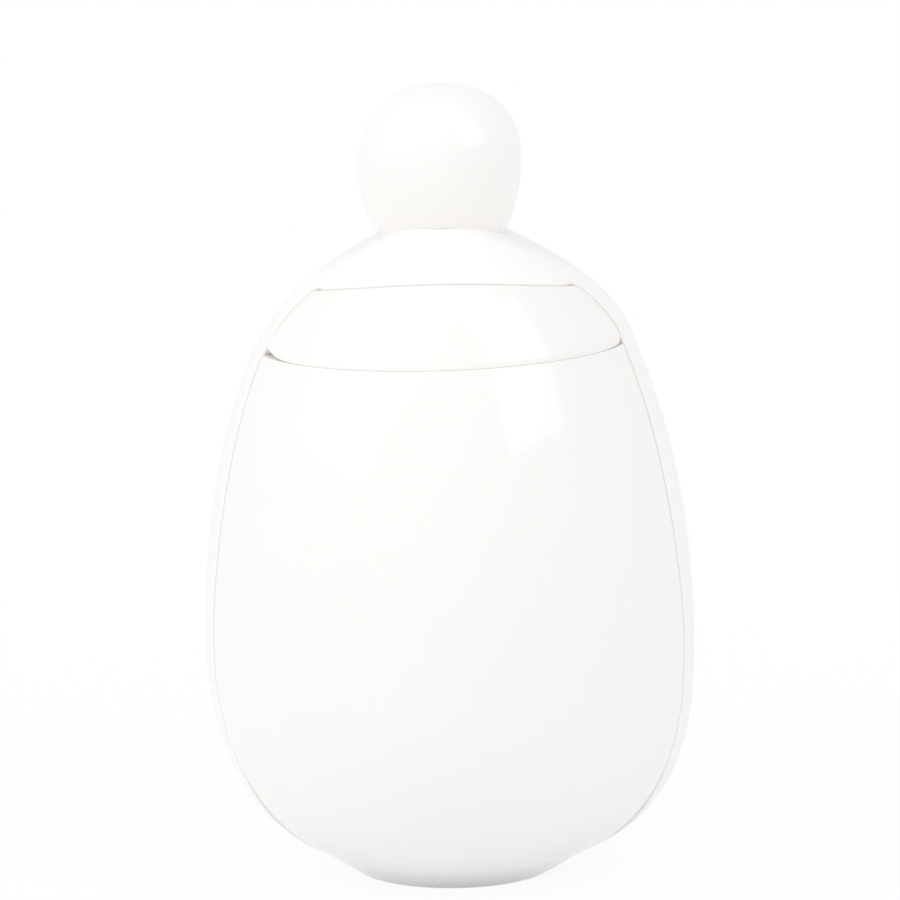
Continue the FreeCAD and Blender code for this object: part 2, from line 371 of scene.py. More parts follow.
egg = np.stack(egg_outline(np.linspace(math.radians(60.0), math.radians(-80.0), 4000)), axis=-1)
above_foot = egg[egg[:, 1] > FOOT_HEIGHT]
foot_corner = np.array([FOOT_FLAT, 0.0])
turn_in = [foot_corner, foot_corner + (foot_corner - above_foot[-1])]
bowl = softened(np.vstack([above_foot, turn_in]), TURN_IN_SOFTENING)
bowl = bowl[bowl[:, 1] > 0.0]
OUTSIDE = softened(np.vstack([bowl, [[bowl[-1, 0], 0.0], [0.0, 0.0]]]), FOOT_SOFTENING)
print(f"outline of the cup: {len(OUTSIDE)} points, widest {OUTSIDE[:, 0].max():.2f} mm")

# %% [markdown]
# The front is a grid whose rows follow the outline and whose columns fan out from one channel's lip to the
# middle. Rows crowd together where the foot turns, because a tight round needs more faces than a flat side.

# %% The front of the cup
CUP_LIP, CUP_ROOT, RIM_ROUND = 0.16, 0.5, 0.08
FAN = np.linspace(0.0, 1.0, 41)
FOOT_CROWDING, TOUCHING = 6.0, 0.02
FRONT_STEPS = [74, 30, 7]


def first_below(values, limit):
    """The place, counted in points, where steadily falling values first pass a limit."""
    after = int(np.argmax(values <= limit))
    return after - 1 + (values[after - 1] - limit) / (values[after - 1] - values[after])


def stretches(marks, counts):
    """Places from mark to mark, with so many steps on each stretch."""
    runs = [np.linspace(a, b, count, endpoint=False) for a, b, count in zip(marks, marks[1:], counts)]
    return np.concatenate(runs + [marks[-1:]])


def sampled(outline, places):
    """The points of an outline at places that are counted in points."""
    count = np.arange(len(outline))
    return np.stack([np.interp(places, count, outline[:, axis]) for axis in range(2)], axis=-1)


def lip_edge(height):
    """How far the channel's lip reaches from the middle of the channel."""
    return half_width(height) + STRAP_GAP + CUP_LIP


front_marks = [first_below(OUTSIDE[:, 1], limit) for limit in (RIM - RIM_ROUND, FOOT_CROWDING, TOUCHING)]
front_marks.append(first_below(OUTSIDE[:, 0] - lip_edge(OUTSIDE[:, 1]), 0.0))
front_radius, front_height = sampled(OUTSIDE, stretches(front_marks, FRONT_STEPS)).T
edge_x = np.sqrt(np.clip(front_radius ** 2 - lip_edge(front_height) ** 2, 0.0, None))
edge_x[-1] = 0.0
edge_turn = np.arctan2(lip_edge(front_height), edge_x)
fan_turn = edge_turn[:, None] + (0.5 * math.pi - edge_turn[:, None]) * FAN
cup_front = np.stack([front_radius[:, None] * np.cos(fan_turn), front_radius[:, None] * np.sin(fan_turn),
                      np.repeat(front_height[:, None], len(FAN), axis=1)], axis=-1)
cup_rows = row_of(edge_x, front_height)
print(f"front of the cup: {cup_front.shape[0]} rows of {cup_front.shape[1]}")

# %% [markdown]
# The channel is a strip of lines side by side: the ones on its floor lie a set depth under the skin, and the
# ones round its root, up its wall and over its lip share out the way from the floor to the outside.

# %% The channel of the cup
def outside_line(place, rows):
    """A line of the cup's own outside, foot included, whose y at each height is place(height)."""
    y = place(OUTSIDE[:, 1])
    inside = OUTSIDE[:, 0] > y
    x = np.sqrt(OUTSIDE[inside, 0] ** 2 - y[inside] ** 2)
    return picked(np.stack([x, y[inside], OUTSIDE[inside, 1]], axis=-1), rows)


def across(share, out):
    """The place of a line at a share of the strip's half width, which is out wider than the strap's."""
    return lambda height: share * (half_width(height) + out)


def channel_strip(section, rows, floor_lines=9):
    """The floor, root, wall and lip of the cup's channel, as lines from the middle outward."""
    shares = np.linspace(0.0, 1.0, floor_lines)
    lines = [side_line(across(share, section[0][0]), CHANNEL_DEPTH, rows) for share in shares]
    for out, deep in section[1:]:
        floor = side_line(across(1.0, out), CHANNEL_DEPTH, rows)
        lines.append(floor + (outside_line(across(1.0, out), rows) - floor) * (1.0 - deep / CHANNEL_DEPTH))
    return np.stack(lines, axis=1)


cup_channel = channel_strip(channel_section(CUP_LIP, CUP_ROOT), cup_rows)
print(f"channel: {cup_channel.shape[1]} lines; floor {cup_channel[0, 0, 0]:.2f} mm from the axis at the rim")

# %% [markdown]
# ## The cup's rim and inside
# The inside follows the outside at the wall's thickness, which is how casting leaves it. Its floor meets the
# wall in a wide round, because a spoon has to reach every place in a cup.

# %% Rim and hollow
CUP_WALL, CUP_FLOOR = 5.0, 6.8
HOLLOW_SOFTENING = 121
HOLLOW_CROWDING, HOLLOW_STEPS = 16.0, [46, 30]
RIM_SHARES = (0.3, 0.7, 1.0)


def turned(outline, angles):
    """A grid that sweeps a (radius, height) outline round the axis, with a column at each angle."""
    radius, height = outline[:, :1], np.repeat(outline[:, 1:], len(angles), axis=1)
    return np.stack([radius * np.cos(angles), radius * np.sin(angles), height], axis=-1)


def shrunk(contour, inset, height):
    """A contour moved toward the axis by an inset, and set at a height."""
    length = np.hypot(contour[:, 0], contour[:, 1])
    scale = (length - inset) / length
    heights = height + np.zeros(len(scale))
    return np.stack([contour[:, 0] * scale, contour[:, 1] * scale, heights], axis=-1)


def toward(contour, outline_point, angles, share):
    """A contour moved part of the way to a circle of some (radius, height), with points at some angles."""
    return contour + (turned(np.array([outline_point]), angles)[0] - contour) * share


def spread_turn(contour):
    """Angles round the axis for the columns inside a contour, spread out where it runs straight inward."""
    turn = np.maximum.accumulate(np.arctan2(contour[:, 1], contour[:, 0]))
    return 0.5 * (turn + np.linspace(0.0, 0.5 * math.pi, len(turn)))


wall_angle = np.linspace(math.radians(60.0), math.radians(-89.0), 3000)
wall_radius, _ = egg_outline(wall_angle)
wall = inward(skin(wall_angle, wall_radius, np.zeros(len(wall_angle))), CUP_WALL)[:, [0, 2]]
wall = wall[(wall[:, 1] < RIM + 3.0) & (wall[:, 1] > CUP_FLOOR)]
HOLLOW = softened(np.vstack([wall, [[0.0, CUP_FLOOR]]]), HOLLOW_SOFTENING)
hollow_marks = [first_below(HOLLOW[:, 1], limit) for limit in (RIM - RIM_ROUND, HOLLOW_CROWDING)]
hollow_marks.append(len(HOLLOW) - 1.0)
hollow = sampled(HOLLOW, stretches(hollow_marks, HOLLOW_STEPS))
mouth = hollow[0, 0]

contour = np.vstack([cup_channel[0], cup_front[0, 1:]])
contour_turn = spread_turn(contour)
ROUND_STEPS = np.radians(np.linspace(0.0, 90.0, 5))
rim_rows = [shrunk(contour, RIM_ROUND * (1.0 - math.cos(a)), RIM - RIM_ROUND * (1.0 - math.sin(a)))
            for a in ROUND_STEPS]
rim_rows += [toward(rim_rows[-1], (mouth + RIM_ROUND, RIM), contour_turn, share) for share in RIM_SHARES]
inner_round = [(mouth + RIM_ROUND * (1.0 - math.sin(a)), RIM - RIM_ROUND * (1.0 - math.cos(a)))
               for a in ROUND_STEPS[1:]]
cup_inside = np.vstack([rim_rows, turned(np.vstack([inner_round, hollow[1:]]), contour_turn)])
print(f"hollow: {mouth:.2f} mm radius at the rim, {len(hollow)} rows")

cup = sewn("porcelain_cup", [cup_front, cup_channel, cup_inside])
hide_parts("cup")
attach(cup, "cup_body")

# %% [markdown]
# ## The outline of the hood
# Seen from above, the hood is a disc that the two bands leave sideways, with a round in each inner corner.
# The lid's recess has the same outline, moved out by the gap. A quarter of it has three stretches: the
# band's straight edge, the corner's round, and the disc. Along the band the edge's wall stands straight up,
# and round the disc it stands square to the skin, so it turns from one to the other in the corner.

# %% A quarter of the hood's outline
HOOD_FILLET = 3.0
FILLET_Y = BAR_HALF_WIDTH + HOOD_FILLET
FILLET_X = math.sqrt((HOOD_RADIUS + HOOD_FILLET) ** 2 - FILLET_Y ** 2)
FILLET_TURN = math.atan2(FILLET_Y, FILLET_X)
RUN, BEND, DISC, ACROSS = 12, 12, 44, 9
BAR_SHARES = np.linspace(0.0, 1.0, ACROSS + 1)


def facing_out(turn):
    """Level directions at some angles round the axis."""
    return np.stack([np.cos(turn), np.sin(turn), np.zeros(len(turn))], axis=-1)


def disc_line(out):
    """The disc's outline, which cuts straight across the band where the corner's round begins.

    It comes as places in plan, the directions of the edge's wall, and how far each wall is kept to."""
    chord_y = BAR_SHARES[:-1] * (BAR_HALF_WIDTH + out)
    chord = np.stack([np.full(ACROSS, FILLET_X), chord_y, np.zeros(ACROSS)], axis=-1)
    bend_out = -facing_out(np.linspace(-0.5 * math.pi, FILLET_TURN - math.pi, BEND, endpoint=False))
    bend = np.array([FILLET_X, FILLET_Y, 0.0]) - (HOOD_FILLET - out) * bend_out
    disc_out = facing_out(np.linspace(FILLET_TURN, 0.5 * math.pi, DISC))
    walls = np.vstack([np.tile(SIDE_WALL, (ACROSS, 1)), bend_out, disc_out])
    keep = np.concatenate([np.ones(ACROSS), np.linspace(1.0, 0.0, BEND, endpoint=False), np.zeros(DISC)])
    return np.vstack([chord, bend, (HOOD_RADIUS + out) * disc_out])[:, :2], walls, keep[:, None]


print(f"the hood's corner starts {FILLET_X:.2f} mm from the axis")

# %% [markdown]
# On the band the outline has to be searched for. The band's width is known at each height, and the height
# isn't known before the place in plan is, so a first guess is mended a few times. A line ends where the
# skin, inset by its depth, comes down to the height that is asked for.

# %% The outline along the band
BAND_SEARCH = np.linspace(33.0, 12.0, 2200)
MENDING_ROUNDS = 10


def bar_y(x, share, out):
    """A share of the band's half width, moved out, beside places along the middle of the lid."""
    y = np.full(len(x), share * (BAR_HALF_WIDTH + out))
    for _ in range(MENDING_ROUNDS):
        turn = np.arccos(np.clip(np.hypot(x, y) / EGG_RADIUS, 0.0, 1.0))
        y = share * (half_width(egg_outline(turn)[1]) + out)
    return y


def end_x(share, out, depth, end_height):
    """How far along the band's line, inset by depth, the end height is reached."""
    y = bar_y(BAND_SEARCH, share, out)
    return np.interp(0.0, inward(crown(BAND_SEARCH, y), depth)[:, 2] - end_height(y), BAND_SEARCH)


def hood_line(out, depth, end_height):
    """The whole outline, from the end of the band's edge round the disc, in the same three parts."""
    run = np.linspace(end_x(1.0, out, depth, end_height), FILLET_X, RUN, endpoint=False)
    straight = np.stack([run, bar_y(run, 1.0, out)], axis=-1)
    plan, walls, keep = disc_line(out)
    return (np.vstack([straight, plan[ACROSS:]]),
            np.vstack([np.tile(SIDE_WALL, (RUN, 1)), walls[ACROSS:]]),
            np.vstack([np.ones((RUN, 1)), keep[ACROSS:]]))


def bar(out, depth, end_height):
    """The stretch over the band: rows from the end height in to the disc, lines from the middle outward."""
    lines = []
    for share in BAR_SHARES:
        run = np.linspace(end_x(share, out, depth, end_height), FILLET_X, RUN + 1)
        lines.append(inward(crown(run, bar_y(run, share, out)), depth))
    return np.stack(lines, axis=1)


def sunk(line, depth):
    """The points of an outline at a depth under the skin."""
    plan, walls, keep = line
    return inward(crown(plan[:, 0], plan[:, 1]), depth, walls, keep)


print(f"the band is {2 * bar_y(np.array([FILLET_X]), 1.0, 0.0)[0]:.2f} mm wide where it leaves the hood")

# %% [markdown]
# ## The knob and what surrounds it
# The knob is a ball on a tapering root, cast in one with the lid. The strap's hole fits round the root, and
# the lid's recess meets it in a small round. Both are rings, so the clearance from the knob is what is set,
# and the radius is searched for.

# %% Rings round the knob's root
KNOB_RADIUS, KNOB_TAPER, KNOB_NECK = 11.6, 15.0, 91.0
KNOB_CENTRE = KNOB_TOP - KNOB_RADIUS
KNOB_SEARCH = np.linspace(6.0, 18.0, 1201)


def knob_radius(height):
    """Radius of the knob at a height: a ball above its centre, a longer taper below."""
    reach = np.where(height > KNOB_CENTRE, KNOB_RADIUS, KNOB_TAPER)
    return KNOB_RADIUS * np.sqrt(np.clip(1.0 - ((height - KNOB_CENTRE) / reach) ** 2, 0.0, None))


def ring_plan(turn, depth, clear):
    """Places in plan at which the skin, inset by depth, stands clear of the knob by so much."""
    found = []
    for angle in turn:
        tried = crown(KNOB_SEARCH * math.cos(angle), KNOB_SEARCH * math.sin(angle))
        points = inward(tried, depth, keep=0.0)
        room = np.hypot(points[:, 0], points[:, 1]) - knob_radius(points[:, 2])
        found.append(np.interp(clear, room, KNOB_SEARCH))
    return np.array(found)[:, None] * facing_out(turn)[:, :2]


def fanned(line, ring, depth, shares):
    """A surface under the skin that fans out from a ring to an outline."""
    plan, walls, keep = line
    rows = [sunk((ring + (plan - ring) * share, walls, keep * share ** 3), depth) for share in shares]
    return np.stack(rows)


print(f"knob: {2 * KNOB_RADIUS:.1f} mm across, {2 * knob_radius(np.array(KNOB_NECK)):.1f} mm at its neck")

# %% [markdown]
# The knob's upper half is a shade squarer than a ball and its top a hair flatter, as a potter's sponge
# leaves it. Below its middle it tapers, and a short curve with one corner point turns the taper out into
# the ring that is its foot.

# %% The knob
KNOB_RISE, KNOB_POWER = 11.45, 2.2
BALL_ROWS, TAPER_ROWS, BEND_SHARES = 26, 16, (0.25, 0.5, 0.75, 1.0)
ROOT_ROUND, BEND_START, BEND_CORNER = 1.0, 1.3, 0.45
UP = np.array([0.0, 0.0, 1.0])


def rings(radius, height, turn):
    """Points at some radii and heights, in columns at some angles round the axis."""
    return radius[..., None] * facing_out(turn) + height[..., None] * UP


def knob_grid(turn, foot):
    """The knob from its top down, with its root rounded out to meet the foot, a ring of points."""
    top = np.radians(np.linspace(90.0, 0.0, BALL_ROWS, endpoint=False))
    squareness = 2.0 / KNOB_POWER
    ball = turned(np.stack([KNOB_RADIUS * np.cos(top) ** squareness,
                            KNOB_CENTRE + KNOB_RISE * np.sin(top) ** squareness], axis=-1), turn)
    ball[0, :, :2] = 0.0
    last = np.arcsin((KNOB_CENTRE - foot[:, 2] - BEND_START * ROOT_ROUND) / KNOB_TAPER)
    lower = np.linspace(0.0, 1.0, TAPER_ROWS)[:, None] * last
    taper = rings(KNOB_RADIUS * np.cos(lower), KNOB_CENTRE - KNOB_TAPER * np.sin(lower), turn)
    corner_height = foot[:, 2] + BEND_CORNER * ROOT_ROUND
    corner = rings(knob_radius(corner_height), corner_height, turn)
    bend = [(1 - t) ** 2 * taper[-1] + 2 * t * (1 - t) * corner + t * t * foot for t in BEND_SHARES]
    return np.vstack([ball, taper, bend])


# %% [markdown]
# ## The lid
# The lid's lower edge settles until only a hairline is left over the cup's rim, and it lifts a little at the
# corners beside the strap, where the clay was wiped round before firing. Between the recess and that edge a
# crescent of the egg's skin shows on each side.

# %% The lid's upper side
LID_LIP, LID_ROOT, EDGE_ROUND = 0.16, 0.5, 0.08
CORNER_Y = half_width(LID_BOTTOM + EDGE_ROUND) + STRAP_GAP + LID_LIP
SETTLE = 0.385
CORNER_LIFT, LIFT_INSIDE, LIFT_OUTSIDE = 1.0, 0.8, 0.9
LIFT_TRAIL, TRAIL_SHARE = 3.6, 0.25
EDGE_SEARCH = np.linspace(34.0, 14.0, 2001)
FAN_STEPS = np.linspace(0.0, 1.0, 13)
CRESCENT_STEPS = np.linspace(0.0, 1.0, 15)


def lid_edge(y):
    """Height at which the lid's lower edge starts to turn under."""
    past = np.asarray(y) - CORNER_Y
    outside = (1.0 - TRAIL_SHARE) * bell(past, LIFT_OUTSIDE) + TRAIL_SHARE * bell(past, LIFT_TRAIL)
    lift = CORNER_LIFT * np.where(past < 0.0, bell(past, LIFT_INSIDE), outside)
    return LID_BOTTOM - SETTLE + EDGE_ROUND + lift


def crescent_end(turn):
    """Places in plan where the skin reaches the lid's lower edge."""
    found = []
    for angle in turn:
        x, y = EDGE_SEARCH * math.cos(angle), EDGE_SEARCH * math.sin(angle)
        found.append(np.interp(0.0, crown(x, y)[0][:, 2] - lid_edge(y), EDGE_SEARCH))
    return np.array(found)[:, None] * facing_out(turn)[:, :2]


def turn_of(points):
    """Angles round the axis."""
    return np.arctan2(points[:, 1], points[:, 0])


lid_section = channel_section(LID_LIP, LID_ROOT)
floor_line = disc_line(lid_section[0][0])
floor_turn = spread_turn(floor_line[0])
recess = fanned(floor_line, ring_plan(floor_turn, CHANNEL_DEPTH, ROOT_ROUND), CHANNEL_DEPTH, FAN_STEPS)
recess_bar = bar(lid_section[0][0], CHANNEL_DEPTH, lid_edge)
recess_wall = np.stack([sunk(hood_line(out, deep, lid_edge), deep) for out, deep in lid_section], axis=1)
lip_line = hood_line(STRAP_GAP + LID_LIP, 0.0, lid_edge)[0]
edge_line = crescent_end(turn_of(lip_line))
crescent_plan = lip_line + (edge_line - lip_line) * CRESCENT_STEPS[:, None, None]
crescent = np.stack([crown(row[:, 0], row[:, 1])[0] for row in crescent_plan])
knob = knob_grid(floor_turn, recess[0])
print(f"lid: recess {recess.shape[:2]}, wall {recess_wall.shape[:2]}, crescent {crescent.shape[:2]}")

# %% [markdown]
# Underneath, the lid is flat where it meets the seal, and a skirt reaches down into the cup so that the lid
# can't slide off. Inside the skirt it is hollow, at the same thickness all over.

# %% The lid's underside
SKIRT_RADIUS, SKIRT_WALL = 19.6, 3.0
LID_WALL, SEAL_CLEARANCE = 4.3, 0.05
UNDER_SOFTENING, UNDER_ROWS, UNDER_SHARES = 25, 76, (0.25, 0.6)


def thinned(outline, count):
    """So many of an outline's points, evenly picked."""
    return outline[np.linspace(0, len(outline) - 1, count).astype(int)]


bore = SKIRT_RADIUS - SKIRT_WALL
skirt = [[SEAL_RADIUS + SEAL_CLEARANCE, LID_BOTTOM], [SKIRT_RADIUS, LID_BOTTOM],
         [SKIRT_RADIUS, SKIRT_BOTTOM], [bore, SKIRT_BOTTOM]]
ceiling_radius = np.linspace(bore, 0.0, 40)
over_ceiling, _ = crown(ceiling_radius + LID_WALL, 0.0 * ceiling_radius)
ceiling = np.stack([ceiling_radius, over_ceiling[:, 2] - LID_WALL], axis=-1)
underside = thinned(softened(np.vstack([skirt, ceiling]), UNDER_SOFTENING), UNDER_ROWS)

lid_contour = np.vstack([recess_bar[0], recess_wall[0, 1:], crescent[-1, 1:]])
lid_turn = spread_turn(lid_contour)
lid_under = [shrunk(lid_contour, EDGE_ROUND * (1.0 - math.cos(a)),
                    lid_contour[:, 2] - EDGE_ROUND * math.sin(a)) for a in ROUND_STEPS]
lid_under += [toward(lid_under[-1], underside[0], lid_turn, share) for share in UNDER_SHARES]
lid_under = np.vstack([lid_under, turned(underside, lid_turn)])
print(f"underside: {lid_under.shape[0]} rows, ceiling {underside[-1, 1]:.2f} mm high")

# %% [markdown]
# The lid was fired on its own, and its thin lower corners curled up, more on one side than on the other. So
# it has a drape of its own, which lifts the corners on one side and opens the joint under them to a small
# dark wedge.

# %% The lid, warped
WARP, WARP_REACH = 1.0, 4.2
WARP_HEIGHT, WARP_SIDE = 2.0, 25.0


def warped(points):
    """Points of the lid, its lower corners on one side lifted as a plate lifts in the kiln."""
    x, y, z = points.T
    corner = bell(z - RIM, WARP_HEIGHT) * bell(np.abs(y) - CORNER_Y, WARP_REACH)
    return np.stack([x, y, z + WARP * ramp(-x, 0.0, WARP_SIDE) ** 2 * corner], axis=-1)


lid = sewn("porcelain_lid", [knob, recess, recess_bar, recess_wall, crescent, lid_under], warped)
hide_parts("lid")
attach(lid, "lid_body")

# %% [markdown]
# ## The seal
# A ring of silicone sits on the skirt, under the lid. Its flange lies between the two rims and keeps the
# water out, and two soft ribs grip the inside of the cup.

# %% The seal ring
SEAL_LEG, SEAL_ROUND, SEAL_POINTS = 1.2, 5, 90
RIB_HEIGHTS, RIB_DEPTH, RIB_HALF = (74.9, 73.6), 0.35, 0.3
leg = SKIRT_RADIUS + SEAL_LEG
rib = ((0.0, RIB_HALF), (RIB_DEPTH, 0.0), (0.0, -RIB_HALF))
ribs = [[leg + out, height + rise] for height in RIB_HEIGHTS for out, rise in rib]
seal_corners = [[SKIRT_RADIUS, SEAL_TOP], [SEAL_RADIUS, SEAL_TOP], [SEAL_RADIUS, RIM], [leg, RIM], *ribs,
                [leg, SEAL_BOTTOM], [SKIRT_RADIUS, SEAL_BOTTOM], [SKIRT_RADIUS, SEAL_TOP]]
seal_outline = thinned(softened(np.array(seal_corners), SEAL_ROUND), SEAL_POINTS)
seal = sewn("seal_ring", [turned(seal_outline, np.linspace(0.0, 0.5 * math.pi, 49))])
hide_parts("lid_seal")
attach(seal, "lid_body")

# %% [markdown]
# ## The strap
# The strap is one moulding: a hood with a hole for the knob, and a band that leaves it on one side, runs
# under the foot and comes back on the other. The hood fans out from the hole, the edge goes round both, and
# the band takes over from the hood where it leaves the lid. Stretching makes the rubber a little narrower
# than its channel was cut for, which opens the joint beside it.

# %% The band
STRAP_CORNER = 0.38
EDGE_SHRINK = 0.32
BAND_ROWS = np.linspace(STRAP_SPLIT - WAIST, LAST_ROW, 106)
UNDER_BLEND = 0.25


def split_height(y):
    """The height at which the hood hands over to the band, the same all the way across."""
    return STRAP_SPLIT


strap_edge = [(out - EDGE_SHRINK, deep) for out, deep in strap_section(STRAP_CORNER)]
face_out = strap_edge[0][0]
band_lines = [side_line(across(share, face_out), 0.0, BAND_ROWS) for share in BAR_SHARES]
band_lines += [side_line(across(1.0, out), deep, BAND_ROWS) for out, deep in strap_edge[1:]]
band_lines += [side_line(across(share, face_out), STRAP_THICKNESS, BAND_ROWS) for share in BAR_SHARES[-2::-1]]
band = np.stack(band_lines, axis=1)
over_floor = (band[..., 2] - STRAP_UNDERSIDE) / UNDER_BLEND
band[..., 2] = STRAP_UNDERSIDE + UNDER_BLEND * np.logaddexp(0.0, over_floor)
print(f"band: {band.shape[0]} rows of {band.shape[1]} points")

# %% [markdown]
# Stretched rubber doesn't keep the shape of its mould. The hood's front and back edges are pulled down onto
# the lid's lip, so the dark line there is only as wide as the rounds that meet in it. The edge of its hole
# grips the knob's root, and rides up it a little at the sides. Low down, where the pull turns under the
# foot, the bands stand off the cup by a third of a millimetre.

# %% The hood
HOLE_GRIP, HOLE_CORNER = 0.3, 0.15
NECK_RIDE, NECK_RADIUS, NECK_REACH, NECK_BOTTOM = 0.8, 9.3, 1.3, 80.0
SLACK, SLACK_HEIGHT, SLACK_REACH, SLACK_START, SLACK_RAMP = 0.35, 9.0, 6.0, 16.0, 8.0
PRESS, PRESS_START, PRESS_RAMP = 0.4, 8.3, 2.0
PRESS_BOTTOM = STRAP_SPLIT + 2.0


def worn(points):
    """Points of the strap, moved as the rubber moves when it is stretched over the egg."""
    x, y, z = points.T
    radius = np.hypot(x, y) + 1e-9
    near_neck = bell(np.clip(radius - NECK_RADIUS, 0.0, None), NECK_REACH) * (z > NECK_BOTTOM)
    ride = NECK_RIDE * np.abs(x) / radius * near_neck
    slack = SLACK * bell(z - SLACK_HEIGHT, SLACK_REACH) * ramp(np.abs(x), SLACK_START, SLACK_RAMP)
    press = PRESS * ramp(np.abs(y), PRESS_START, PRESS_RAMP) * (z > PRESS_BOTTOM)
    grown = 1.0 + press / radius
    return np.stack([x * grown + slack * np.sign(x), y * grown, z + ride - press], axis=-1)


hood_disc = disc_line(face_out)
hood_turn = spread_turn(hood_disc[0])
hole_rings = [(ring_plan(hood_turn, deep, -HOLE_GRIP - out), deep)
              for out, deep in strap_section(HOLE_CORNER)]
hole = np.stack([inward(crown(plan[:, 0], plan[:, 1]), deep, keep=0.0) for plan, deep in hole_rings])
hood_faces = [fanned(hood_disc, hole_rings[0][0], 0.0, FAN_STEPS),
              fanned(hood_disc, hole_rings[-1][0], STRAP_THICKNESS, FAN_STEPS)]
hood_faces += [bar(face_out, depth, split_height) for depth in (0.0, STRAP_THICKNESS)]
hood_rim = np.stack([sunk(hood_line(out, deep, split_height), deep) for out, deep in strap_edge], axis=1)
strap = sewn("silicone_strap", [hole, *hood_faces, hood_rim, band], worn)
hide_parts("strap_band", "strap_hood")
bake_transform(strap)

# %% [markdown]
# ## Finishes
# A few helpers keep the node trees short. Two of them start a material and add a node with its values. The
# others make what the finishes here need: where a point lies, a noise of a stated size, one number worked
# out from two, a number or a colour that follows another number, and a bump.

# %% Helpers for node trees
def finish(name):
    """A new material, its node tree and its shader."""
    material = bpy.data.materials.new(name)
    material.use_nodes = True
    return material, material.node_tree, material.node_tree.nodes["Principled BSDF"]


def add(tree, kind, settings=None, **sockets):
    """A new node, with its settings and the plain values of its sockets."""
    node = tree.nodes.new(kind)
    for name, value in (settings or {}).items():
        setattr(node, name, value)
    for name, value in sockets.items():
        node.inputs[name].default_value = value
    return node


def combined(tree, operation, first, second):
    """A number worked out from two others."""
    node = add(tree, "ShaderNodeMath", {"operation": operation})
    tree.links.new(first, node.inputs[0])
    tree.links.new(second, node.inputs[1])
    return node.outputs[0]


def place_on(tree):
    """Where a point lies, in metres."""
    return add(tree, "ShaderNodeTexCoord").outputs["Object"]


def height_on(tree):
    """How high a point lies, in metres."""
    split = add(tree, "ShaderNodeSeparateXYZ")
    tree.links.new(place_on(tree), split.inputs[0])
    return split.outputs["Z"]


def cloud(tree, size, detail=2.0):
    """Noise from 0 to 1 whose patches are about so many millimetres across."""
    noise = add(tree, "ShaderNodeTexNoise", Scale=0.5 / (size * MM), Detail=detail)
    tree.links.new(place_on(tree), noise.inputs["Vector"])
    return noise.outputs["Fac"]


def follow(tree, value, start, end, low, high):
    """A number that goes from low to high as a value goes from start to end."""
    curve = add(tree, "ShaderNodeMapRange", {"interpolation_type": "SMOOTHSTEP"})
    for name, number in (("From Min", start), ("From Max", end), ("To Min", low), ("To Max", high)):
        curve.inputs[name].default_value = number
    tree.links.new(value, curve.inputs["Value"])
    return curve.outputs["Result"]


def tint(tree, value, first, second):
    """A colour that goes from first to second as a value goes from 0 to 1. The first may be a socket."""
    mix = add(tree, "ShaderNodeMix", {"data_type": "RGBA"})
    tree.links.new(value, mix.inputs["Factor"])
    if isinstance(first, tuple):
        mix.inputs[6].default_value = (*first, 1.0)
    else:
        tree.links.new(first, mix.inputs[6])
    mix.inputs[7].default_value = (*second, 1.0)
    return mix.outputs[2]


def relief(tree, height, size, under=None):
    """A bump as high as so many millimetres, on top of another bump's normal."""
    bump = add(tree, "ShaderNodeBump", Strength=1.0, Distance=size * MM)
    tree.links.new(height, bump.inputs["Height"])
    if under:
        tree.links.new(under, bump.inputs["Normal"])
    return bump.outputs["Normal"]


# %% [markdown]
# ## Glaze
# Porcelain is white clay under a thin coat of clear glass. The coat isn't even: it draws thin on edges, where
# the warmer clay shows through, and its thickness drifts over a few centimetres. It has the faint ripple of
# an orange's skin, a few pinholes of iron, and no glaze at all on the flat of the foot, which was wiped clean
# so that it wouldn't stick to the kiln's shelf.

# %% The porcelain's glaze
GLAZE, THICK_GLAZE, THIN_GLAZE = (0.942, 0.923, 0.905), (0.93, 0.916, 0.905), (0.93, 0.9, 0.868)
DRIFT_SIZE, EDGE_SHARPNESS, EDGE_SHARE = 34.0, (0.52, 0.62), 0.8
SPECK, SPECKS_PER_METRE, SPECK_SHARE = (0.52, 0.45, 0.38), 80.0, 0.8
SPECK_RADIUS, SPECK_CHANCE = (0.012, 0.022), (0.8, 0.82)
BARE_CLAY, BARE_HEIGHT, BARE_ROUGHNESS = (0.9, 0.88, 0.85), 0.00015, 0.8
GLOSS_SIZE, GLOSS = 9.0, (0.045, 0.1)
SWAY_SIZE, SWAY, PEEL_SIZE, PEEL, CLAY_GRAIN_SIZE, CLAY_GRAIN = 11.0, 0.05, 1.6, 0.0025, 0.3, 0.03
porcelain, tree, shader = finish("glazed_porcelain")

drift = follow(tree, cloud(tree, DRIFT_SIZE), 0.35, 0.65, 0.0, 1.0)
colour = tint(tree, drift, GLAZE, THICK_GLAZE)
sharpness = add(tree, "ShaderNodeNewGeometry").outputs["Pointiness"]
colour = tint(tree, follow(tree, sharpness, *EDGE_SHARPNESS, 0.0, EDGE_SHARE), colour, THIN_GLAZE)

specks = add(tree, "ShaderNodeTexVoronoi", Scale=SPECKS_PER_METRE)
tree.links.new(place_on(tree), specks.inputs["Vector"])
chance = add(tree, "ShaderNodeSeparateColor")
tree.links.new(specks.outputs["Color"], chance.inputs["Color"])
small = follow(tree, specks.outputs["Distance"], *SPECK_RADIUS, SPECK_SHARE, 0.0)
rare = follow(tree, chance.outputs["Red"], *SPECK_CHANCE, 0.0, 1.0)
colour = tint(tree, combined(tree, "MULTIPLY", small, rare), colour, SPECK)

bare = follow(tree, height_on(tree), 0.0, BARE_HEIGHT, 1.0, 0.0)
tree.links.new(tint(tree, bare, colour, BARE_CLAY), shader.inputs["Base Color"])

